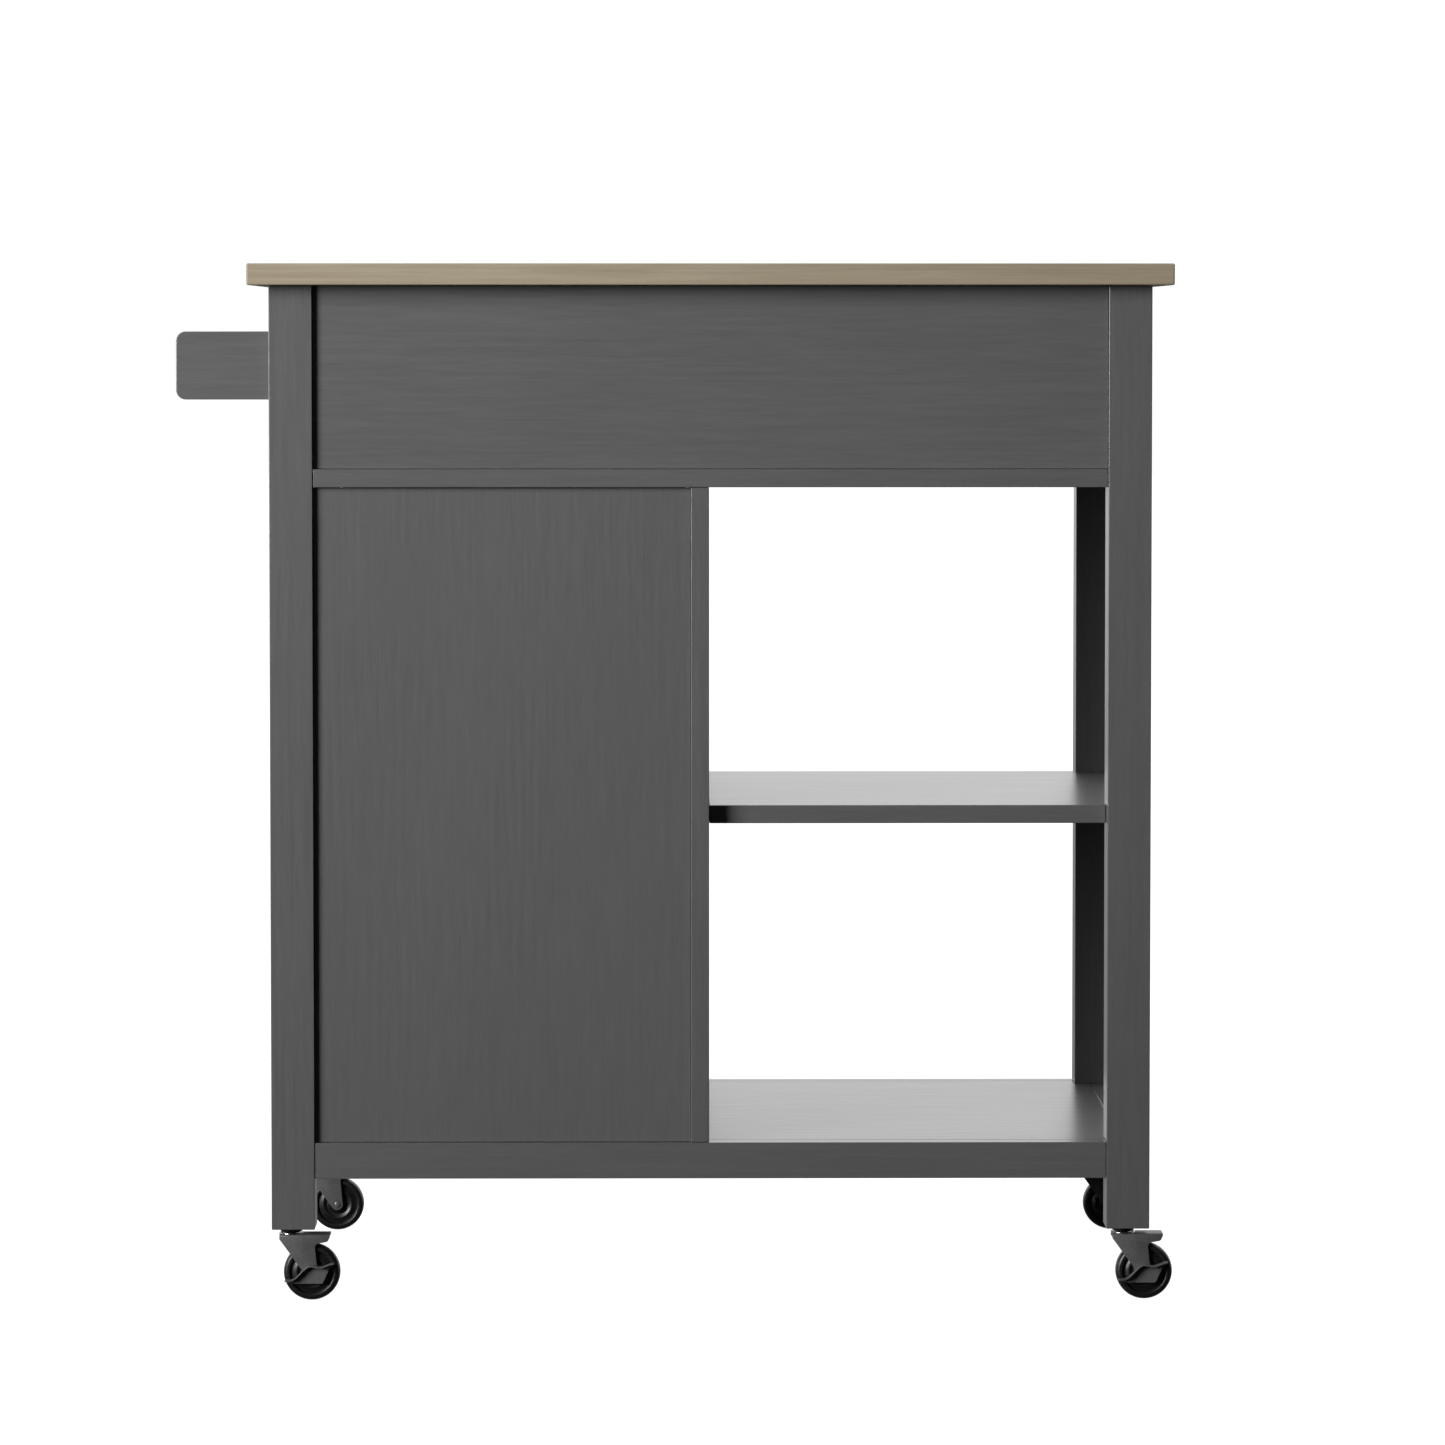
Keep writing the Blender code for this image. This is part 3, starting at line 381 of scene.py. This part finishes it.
def soften(piece, width, angle=35):
    """Round the edges of a piece that are steeper than an angle in degrees."""
    bevel = piece.modifiers.new("soft_edges", "BEVEL")
    bevel.width = width
    bevel.segments = 2
    bevel.limit_method = "ANGLE"
    bevel.angle_limit = radians(angle)
    bevel.harden_normals = False


def lathe(profile, sides=64, closed=False):
    """Spin a (radius, height) profile round Z; a closed profile makes a ring."""
    bm = bmesh.new()
    rim = [bm.verts.new((radius, 0, height)) for radius, height in profile]
    pairs = list(zip(rim, rim[1:]))
    if closed:
        pairs.append((rim[-1], rim[0]))
    edges = [bm.edges.new(pair) for pair in pairs]
    bmesh.ops.spin(bm, geom=rim + edges, cent=(0, 0, 0), axis=(0, 0, 1), angle=2 * pi, steps=sides,
                   use_merge=True)
    bmesh.ops.remove_doubles(bm, verts=bm.verts, dist=0.000005)
    return bm


def arc(centre, radius, start, stop, steps):
    """Points on an arc, angles in degrees."""
    angles = [radians(start + (stop - start) * step / steps) for step in range(steps + 1)]
    return [(centre[0] + radius * cos(a), centre[1] + radius * sin(a)) for a in angles]


def rounded(points, radius, steps=4):
    """Round the corners between the ends of a (radius, height) profile; a short side limits its corners."""
    most = 0.45     # part of a side that one corner may take
    made = [points[0]]
    for before_point, point, after_point in zip(points, points[1:], points[2:]):
        corner = Vector(point)
        before = Vector(before_point) - corner
        after = Vector(after_point) - corner
        cut = min(radius, before.length * most, after.length * most)
        first = corner + before.normalized() * cut
        last = corner + after.normalized() * cut
        for step in range(steps + 1):
            t = step / steps
            spot = first * (1 - t) ** 2 + corner * 2 * t * (1 - t) + last * t * t
            made.append((spot.x, spot.y))
    made.append(points[-1])
    return made


# ---------------------------------------------------------------- towel rod and knobs

NICKEL = metal("brushed_nickel", (0.58, 0.56, 0.53, 1), 0.26, (260, 260, 1500))

# Half outline of a knob, from its foot, as parts of its radius and of its length.
KNOB_OUTLINE = (
    (0, 0), (0.66, 0), (0.66, 0.05), (0.60, 0.075),                             # foot
    (0.46, 0.16), (0.43, 0.28), (0.46, 0.42),                                   # waist
    (0.70, 0.55), (0.97, 0.65), (1, 0.70), (1, 0.78), (0.95, 0.86),             # head
    (0.80, 0.915), (0.78, 0.902), (0.75, 0.902), (0.73, 0.925),                 # groove round the face
    (0.50, 0.970), (0.25, 0.993), (0, 1),                                       # domed face
)


def make_towel_rod():
    low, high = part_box("towel_rod")
    radius = (high.x - low.x) / 2
    half = (high.y - low.y) / 2
    profile = rounded([(0, -half), (radius, -half), (radius, half), (0, half)], 0.0012)
    add_piece("rod", lathe(profile), "cart", paint("paint_towel_rod", "Z", 41),
              (low + high) / 2, FACING_BACK, stands_for=["towel_rod"])


def make_knob(node, body):
    """Turned knob: foot, waist, and a domed head with a fine groove round its face."""
    low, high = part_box(node)
    radius = (high.x - low.x) / 2
    length = high.y - low.y
    profile = [(across * radius, out * length) for across, out in KNOB_OUTLINE]
    centre = (low + high) / 2
    place = (centre.x, high.y, centre.z)
    add_piece(node + "_turned", lathe(rounded(profile, 0.0008, 3)), body, NICKEL, place,
              FACING_FRONT, sharp=50, stands_for=[node])


# ---------------------------------------------------------------- casters

# Forks, stems and pedals have the CAD's own sizes. At rest every wheel trails its swivel axis towards -X.
TRAIL = 0.0183              # swivel axis to wheel axle
AXLE_HEIGHT = 0.025         # heights are above the floor
FORK_SHEET = 0.0015
FORK_EYE = 0.0054           # radius of the fork round the axle
FORK_TOP = 0.0590
FORK_BEND = 0.0018          # radius of the bent edges
RING_BORE = 0.0044
RING_RADIUS = 0.0108
STUD_RADIUS = 0.0040
FOOT_RADIUS = 0.0058        # the stem's riveted foot, inside the fork
FOOT_THICK = 0.0015
COLLAR_RADIUS = 0.0096
COLLAR_LOW = 0.0603
COLLAR_HIGH = 0.0641
PEDAL_SHEET = 0.0012

CASTER_STEEL = metal("caster_steel", (0.135, 0.136, 0.138, 1), 0.38, even(420), metallic=0.25)
RING_STEEL = metal("caster_ring", (0.70, 0.70, 0.71, 1), 0.20, (300, 300, 900))
COLLAR_BLACK = plastic("collar_black", (0.010, 0.010, 0.010, 1), 0.32, 0.10)
WHEEL_BLACK = plastic("wheel_black", (0.0075, 0.0075, 0.0078, 1), 0.34, 0.14)
RIVET = metal("rivet_zinc", (0.20, 0.20, 0.205, 1), 0.34, even(500), metallic=0.5)


def fork_side(top):
    """Outline of one fork cheek up to a height, as (x, height) round the swivel axis."""
    nose, shoulder = -0.0101, 0.0548
    run_x = TRAIL - nose
    run_z = AXLE_HEIGHT - shoulder
    slope = atan2(run_z, run_x) - asin(FORK_EYE / hypot(run_x, run_z))
    tangent = degrees(slope) - 90
    outline = [(nose, top), (nose, shoulder)]
    outline += arc((TRAIL, AXLE_HEIGHT), FORK_EYE, tangent, 5, 16)
    outline += arc((0.0254, 0.0472), 0.0040, 180, 90, 6)
    outline += arc((0.0299, 0.0562), 0.0042, -90, -42, 4)
    outline.append((0.0346, top))
    return [(-x, z) for x, z in outline]


def make_fork(corner, axis_place):
    """Pressed sheet: two cheeks, bent edges and a top plate, thickened inward, under a bearing ring."""
    node = f"caster_{corner}_fork"
    low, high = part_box(node)
    half = (high.y - low.y) / 2
    steps = 5
    outline = fork_side(FORK_TOP - FORK_BEND)
    front_x, back_x = outline[0][0], outline[-1][0]
    bm = bmesh.new()
    plate = []
    for side in (-1, 1):
        cheek = [bm.verts.new((x, side * half, z)) for x, z in outline]
        bm.faces.new(cheek)
        strip = [(cheek[0], cheek[-1])]
        for step in range(1, steps + 1):
            turn = pi / 2 * step / steps
            y = side * (half - FORK_BEND + FORK_BEND * cos(turn))
            z = FORK_TOP - FORK_BEND + FORK_BEND * sin(turn)
            strip.append((bm.verts.new((front_x, y, z)), bm.verts.new((back_x, y, z))))
        for (a, b), (c, d) in zip(strip, strip[1:]):
            bm.faces.new((a, b, d, c))
        plate.append(strip[-1])
    (a, b), (c, d) = plate
    bm.faces.new((a, b, d, c))
    fork = add_piece(node + "_pressed", bm, f"fork_{corner}", CASTER_STEEL, axis_place,
                     stands_for=[node])
    sheet = fork.modifiers.new("sheet", "SOLIDIFY")
    sheet.thickness = FORK_SHEET
    sheet.offset = -1
    sheet.use_even_offset = True
    soften(fork, 0.00025)
    ring = rounded([(RING_BORE, -0.0006), (RING_RADIUS, -0.0006), (RING_RADIUS, 0.0010), (0.0090, 0.0010),
                    (0.0078, 0.0004), (RING_BORE, 0.0004)], 0.0006)
    add_piece(f"caster_{corner}_ring", lathe(ring, closed=True), f"fork_{corner}", RING_STEEL,
              axis_place + Vector((0, 0, FORK_TOP - 0.00002)))


def make_stem(corner, axis_place):
    """Black stud with a foot inside the fork and a collar under the leg."""
    node = f"caster_{corner}_stem"
    low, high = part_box(node)
    chamfer = 0.0010
    profile = [(0, low.z), (FOOT_RADIUS, low.z), (FOOT_RADIUS, low.z + FOOT_THICK),
               (STUD_RADIUS, low.z + FOOT_THICK), (STUD_RADIUS, COLLAR_LOW),
               (COLLAR_RADIUS - chamfer, COLLAR_LOW), (COLLAR_RADIUS, COLLAR_LOW + chamfer),
               (COLLAR_RADIUS, COLLAR_HIGH), (STUD_RADIUS, COLLAR_HIGH), (STUD_RADIUS, high.z - chamfer),
               (STUD_RADIUS - chamfer, high.z), (0, high.z)]
    add_piece(node + "_turned", lathe(rounded(profile, 0.0004, 3), 48), "cart", COLLAR_BLACK,
              axis_place, stands_for=[node])


def make_wheel(corner, axle_place):
    """Moulded wheel: crowned tread, raised rim, a groove, a dished web with a rolled ring, and a hub."""
    node = f"caster_{corner}_wheel"
    low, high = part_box(node)
    half = (high.y - low.y) / 2
    radius = (high.z - low.z) / 2
    face = [
        (0.0023, half), (0.0052, half), (0.0066, half - 0.0003), (0.0076, half - 0.0014),   # bore and hub
        (0.0088, half - 0.0024), (0.0104, half - 0.0027),                                   # inner dish
        (0.0118, half - 0.0020), (0.0134, half - 0.0012), (0.0150, half - 0.0018),          # rolled ring
        (0.0164, half - 0.0027), (0.0176, half - 0.0028),                                   # outer dish
        (0.0181, half - 0.0034), (0.0188, half - 0.0034), (0.0192, half - 0.0008),          # groove
        (0.0200, half - 0.0003), (0.0222, half - 0.0004), (0.0238, half - 0.0016),          # rim
        (0.0246, half - 0.0032), (radius - 0.0001, half - 0.0050), (radius, half - 0.0070),     # tread
    ]
    profile = face + [(r, -h) for r, h in reversed(face)]
    add_piece(node + "_moulded", lathe(rounded(profile, 0.0006, 3), 96, closed=True), f"wheel_{corner}",
              WHEEL_BLACK, axle_place, FACING_BACK, sharp=40, stands_for=[node])


def make_axle(corner, axle_place):
    """Rivet with low domed heads; on a braked caster its back end stays just inside the pedal's cheek."""
    node = f"caster_{corner}_axle"
    low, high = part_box(node)
    front = low.y - axle_place.y
    back = high.y - axle_place.y
    head, thick, shank = 0.0026, 0.0008, 0.0020
    dome = [(head, thick * 0.35), (head * 0.86, thick * 0.72), (head * 0.55, thick * 0.95), (0, thick)]
    profile = [(r, front + thick - h) for r, h in reversed(dome)]
    profile += [(head, front + thick), (shank, front + thick)]
    if "back" in corner:
        profile += [(shank, back - 0.0003), (shank - 0.0002, back - 0.0001), (0, back - 0.0001)]
    else:
        profile += [(shank, back - thick), (head, back - thick)] + [(r, back - thick + h) for r, h in dome]
    add_piece(node + "_rivet", lathe(profile, 40), f"fork_{corner}", RIVET, axle_place, FACING_BACK,
              sharp=50, stands_for=[node])


def straight(part):
    return part


def eased(part):
    """Leave and reach each point level."""
    return part * part * (3 - 2 * part)


def read_line(points, x, ease):
    """Height at x of a line through points, with each stretch shaped by an easing function."""
    for (x0, z0), (x1, z1) in zip(points, points[1:]):
        if x <= x1:
            return z0 + (z1 - z0) * ease((x - x0) / (x1 - x0))
    return points[-1][1]


def make_pedal(corner, axle_place):
    """Wavy foot lip with a cheek plate hung from it; its lines are (distance along the trail, height)."""
    node = f"caster_{corner}_brake"
    low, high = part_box(node)
    lip_line = [(-0.0052, 0.0192), (0.0000, 0.0196), (0.0180, 0.0322), (0.0262, 0.0311), (0.0383, 0.0345)]
    cheek_line = [(-0.0052, 0.0172), (0.0040, 0.0155), (0.0280, 0.0155), (0.0346, 0.0296), (0.0383, 0.0326)]
    least_cheek = 0.0002
    inner, outer = low.y - axle_place.y, high.y - axle_place.y
    cheek = inner + PEDAL_SHEET
    first, last = lip_line[0][0], lip_line[-1][0]
    stations = 48
    bm = bmesh.new()
    rings = []
    for station in range(stations + 1):
        x = first + (last - first) * station / stations
        lip = read_line(lip_line, x, eased)
        under = lip - PEDAL_SHEET
        foot = min(read_line(cheek_line, x, straight), under - least_cheek)
        section = [(inner, lip), (outer, lip), (outer, under), (cheek, under), (cheek, foot), (inner, foot)]
        rings.append([bm.verts.new((TRAIL - x, y, z - AXLE_HEIGHT)) for y, z in section])
    for ring, following in zip(rings, rings[1:]):
        for index in range(len(ring)):
            after = (index + 1) % len(ring)
            bm.faces.new((ring[index], ring[after], following[after], following[index]))
    bm.faces.new(rings[0])
    bm.faces.new(rings[-1])
    pedal = add_piece(node + "_pressed", bm, f"pedal_{corner}", CASTER_STEEL, axle_place,
                      stands_for=[node])
    soften(pedal, 0.0002, angle=50)


def make_casters():
    """Four casters; the two at the back have a brake pedal."""
    for corner in ("front_left", "back_left", "front_right", "back_right"):
        low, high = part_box(f"caster_{corner}_stem")
        axis_place = Vector(((low.x + high.x) / 2, (low.y + high.y) / 2, 0))
        low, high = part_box(f"caster_{corner}_wheel")
        axle_place = (low + high) / 2
        make_fork(corner, axis_place)
        make_stem(corner, axis_place)
        make_wheel(corner, axle_place)
        make_axle(corner, axle_place)
        if "back" in corner:
            make_pedal(corner, axle_place)


make_towel_rod()
make_knob("door_knob", "door")
make_knob("drawer_knob_left", "drawer")
make_knob("drawer_knob_right", "drawer")
make_casters()

# ---------------------------------------------------------------- floor, light and camera


def make_floor():
    """Pale floor that glows to near white and casts no light on the cart."""
    bm = bmesh.new()
    bmesh.ops.create_grid(bm, x_segments=1, y_segments=1, size=30)
    mesh = bpy.data.meshes.new("floor")
    bm.to_mesh(mesh)
    bm.free()
    floor = bpy.data.objects.new("floor", mesh)
    bpy.context.scene.collection.objects.link(floor)
    shader = Shader("pale_floor")
    grain = shader.noise(shader.place(scale=even(3)), detail=4)
    shader.colour(shader.blend(shader.vary(grain, 0, 1), (0.29, 0.29, 0.29, 1), (0.32, 0.32, 0.32, 1)))
    shader.set(Roughness=0.8, Emission_Color=(1, 1, 1, 1), Emission_Strength=0.95)
    shader.material.cycles.emission_sampling = "NONE"
    mesh.materials.append(shader.material)
    floor.visible_diffuse = False
    floor.visible_glossy = False


def make_world():
    """White all round for the camera; as a light it is white beyond the cart's front and dim elsewhere."""
    bright, dim = 1.245, 0.045      # light from beyond the cart's front, and from the side of its back
    below = 0.25                    # part of that light that is left below the horizon
    world = bpy.data.worlds.new("studio")
    bpy.context.scene.world = world
    world.use_nodes = True
    tree = world.node_tree
    tree.nodes.clear()
    new, link = tree.nodes.new, tree.links.new
    direction = new("ShaderNodeSeparateXYZ")
    link(new("ShaderNodeTexCoord").outputs["Generated"], direction.inputs[0])

    def ramp(source, low, high, to_low, to_high):
        made = new("ShaderNodeMapRange")
        made.interpolation_type = "SMOOTHSTEP"
        link(source, made.inputs["Value"])
        for socket, value in (("From Min", low), ("From Max", high), ("To Min", to_low), ("To Max", to_high)):
            made.inputs[socket].default_value = value
        return made.outputs["Result"]

    strength = new("ShaderNodeMath")
    strength.operation = "MULTIPLY"
    link(ramp(direction.outputs["Y"], -0.25, 0.15, bright, dim), strength.inputs[0])
    link(ramp(direction.outputs["Z"], -0.10, 0.02, below, 1.0), strength.inputs[1])
    lit = new("ShaderNodeBackground")
    link(strength.outputs[0], lit.inputs["Strength"])
    seen = new("ShaderNodeBackground")
    seen.inputs["Color"].default_value = (1, 1, 1, 1)
    seen.inputs["Strength"].default_value = 1.02
    choice = new("ShaderNodeMixShader")
    link(new("ShaderNodeLightPath").outputs["Is Camera Ray"], choice.inputs[0])
    link(lit.outputs[0], choice.inputs[1])
    link(seen.outputs[0], choice.inputs[2])
    link(choice.outputs[0], new("ShaderNodeOutputWorld").inputs["Surface"])


def make_key(azimuth, elevation, distance, width, height, spread, aim, power):
    """Large soft light off the cart's back left; azimuth is measured from +Y towards +X, in degrees."""
    middle = Vector((0, 0, 0.75))
    light = bpy.data.lights.new("key", "AREA")
    light.shape = "RECTANGLE"
    light.size = width
    light.size_y = height
    light.spread = radians(spread)
    light.energy = power
    key = bpy.data.objects.new("key", light)
    bpy.context.scene.collection.objects.link(key)
    turn, rise = radians(azimuth), radians(elevation)
    towards = Vector((sin(turn) * cos(rise), cos(turn) * cos(rise), sin(rise)))
    key.location = middle + towards * distance
    key.rotation_euler = (key.location - Vector(aim)).to_track_quat("Z", "Y").to_euler()
    key.visible_camera = False


def make_camera():
    """Camera off the cart's back, a little lower than its top, tipped down and turned slightly."""
    tip, turn = 2.803, 0.545
    lens = bpy.data.cameras.new("camera")
    lens.lens = 147.66
    lens.sensor_width = 36
    lens.shift_y = -0.07
    lens.clip_end = 100
    camera = bpy.data.objects.new("camera", lens)
    bpy.context.scene.collection.objects.link(camera)
    camera.location = (0.0090, 5.4206, 0.8555)
    camera.rotation_euler = (radians(90 - tip), 0, radians(180 - turn))
    bpy.context.scene.camera = camera


make_floor()
make_world()
make_key(azimuth=47.6, elevation=17.2, distance=5.2, width=2.1, height=3.35, spread=65.7, aim=(0.12, 0, 1.48),
         power=72)
make_camera()
bpy.context.scene.view_settings.view_transform = "Standard"
bpy.context.scene.view_settings.look = "None"
